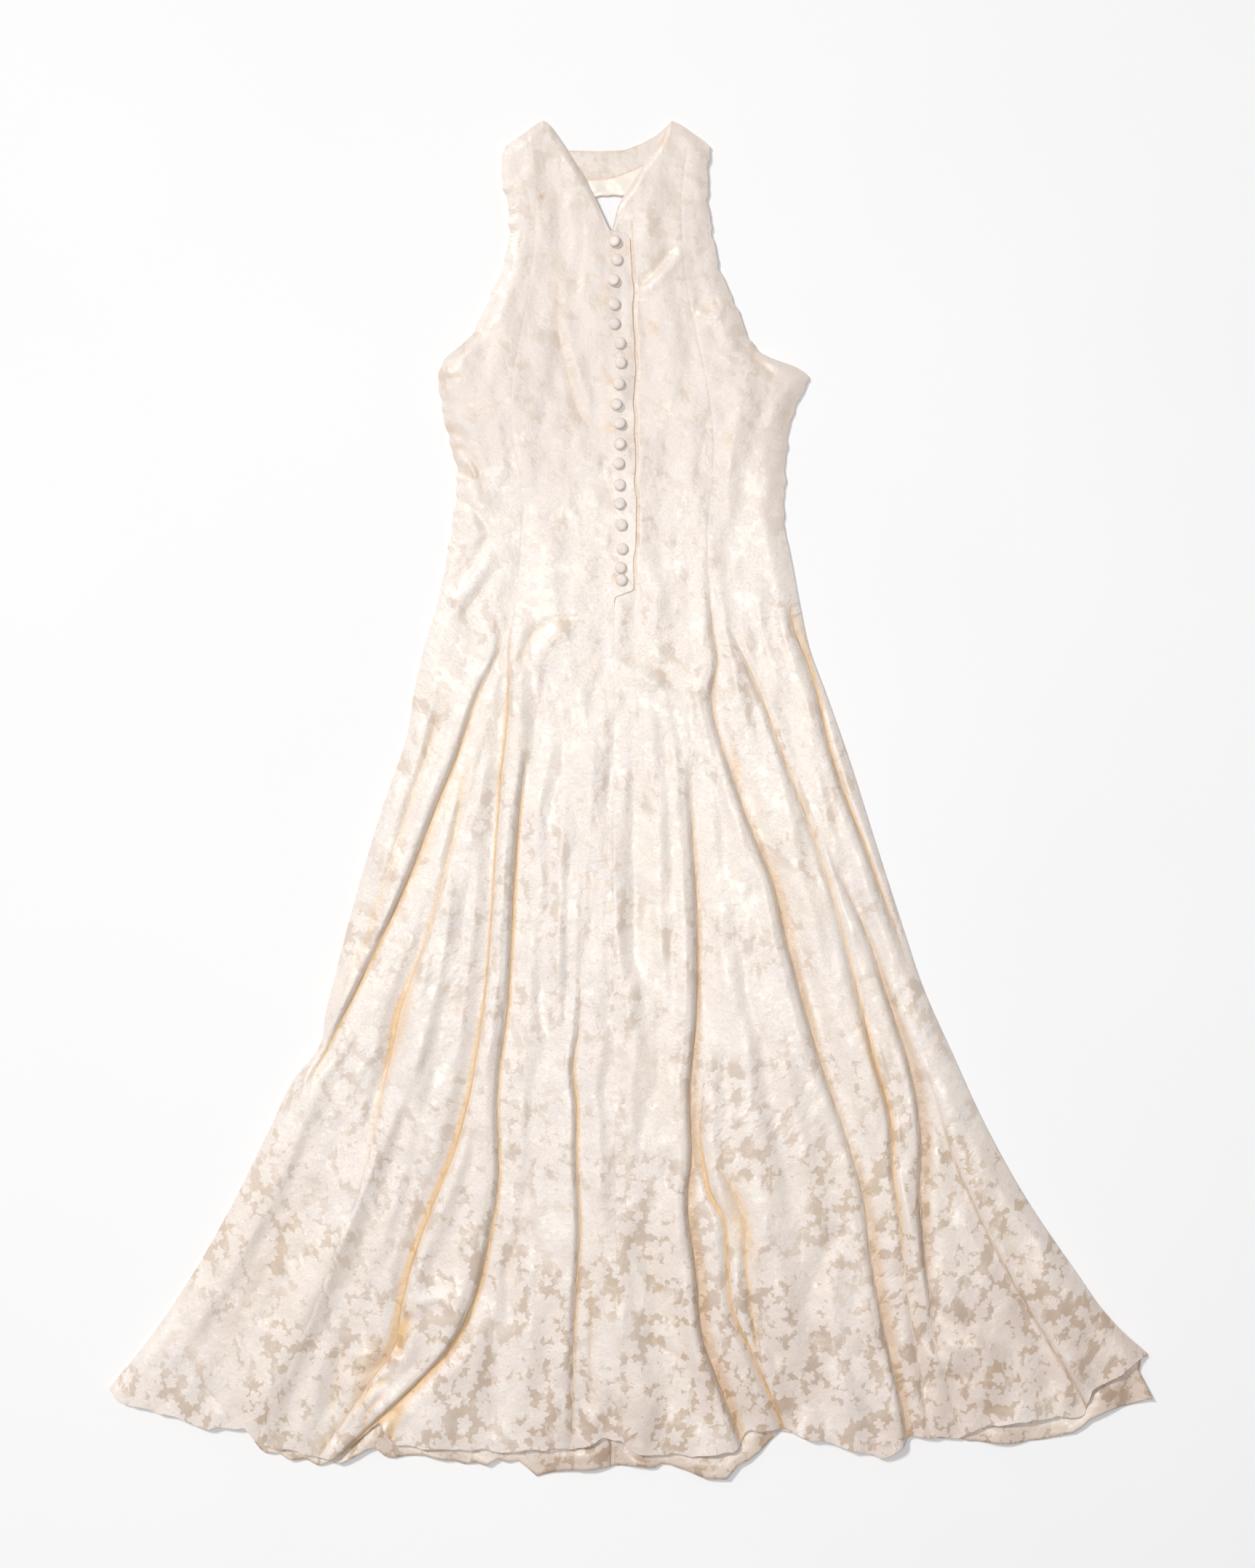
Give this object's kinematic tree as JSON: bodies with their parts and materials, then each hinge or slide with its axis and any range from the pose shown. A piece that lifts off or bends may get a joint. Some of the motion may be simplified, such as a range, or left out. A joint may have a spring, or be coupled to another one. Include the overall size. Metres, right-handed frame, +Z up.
{
  "type": "sleeveless jacquard gown laid out flat",
  "caption": "Long sleeveless princess-line gown of cream jacquard, laid flat face up with soft deep folds, covered buttons down the bodice overlap and a keyhole below the back neck.",
  "frame": {"origin": "middle of the laid gown's outline, on the surface it lies on", "axes": "+X across the gown to the wearer's left, +Y from the hem to the shoulders, +Z up off the surface"},
  "size_m": [1.1725, 1.5286, 0.0203],
  "materials": {
    "figured_silk": "cream silk jacquard, satin ground with matte leaves and flowers",
    "satin_lining": "plain ivory satin",
    "covered_button": "silk-covered button mould"
  },
  "bodies": {
    "root": {"front_side_left": "figured_silk", "front_centre_left": "figured_silk", "front_centre_right": "figured_silk", "front_side_right": "figured_silk", "back_side_left": "figured_silk", "back_centre_left": "figured_silk", "back_centre_right": "figured_silk", "back_side_right": "figured_silk", "back_neck_facing": "figured_silk", "back_neck_lining": "satin_lining", "button_01": "covered_button", "button_02": "covered_button", "button_03": "covered_button", "button_04": "covered_button", "button_05": "covered_button", "button_06": "covered_button", "button_07": "covered_button", "button_08": "covered_button", "button_09": "covered_button", "button_10": "covered_button", "button_11": "covered_button", "button_12": "covered_button", "button_13": "covered_button", "button_14": "covered_button", "button_15": "covered_button", "button_16": "covered_button", "button_17": "covered_button", "button_18": "covered_button"}
  },
  "joints": []
}
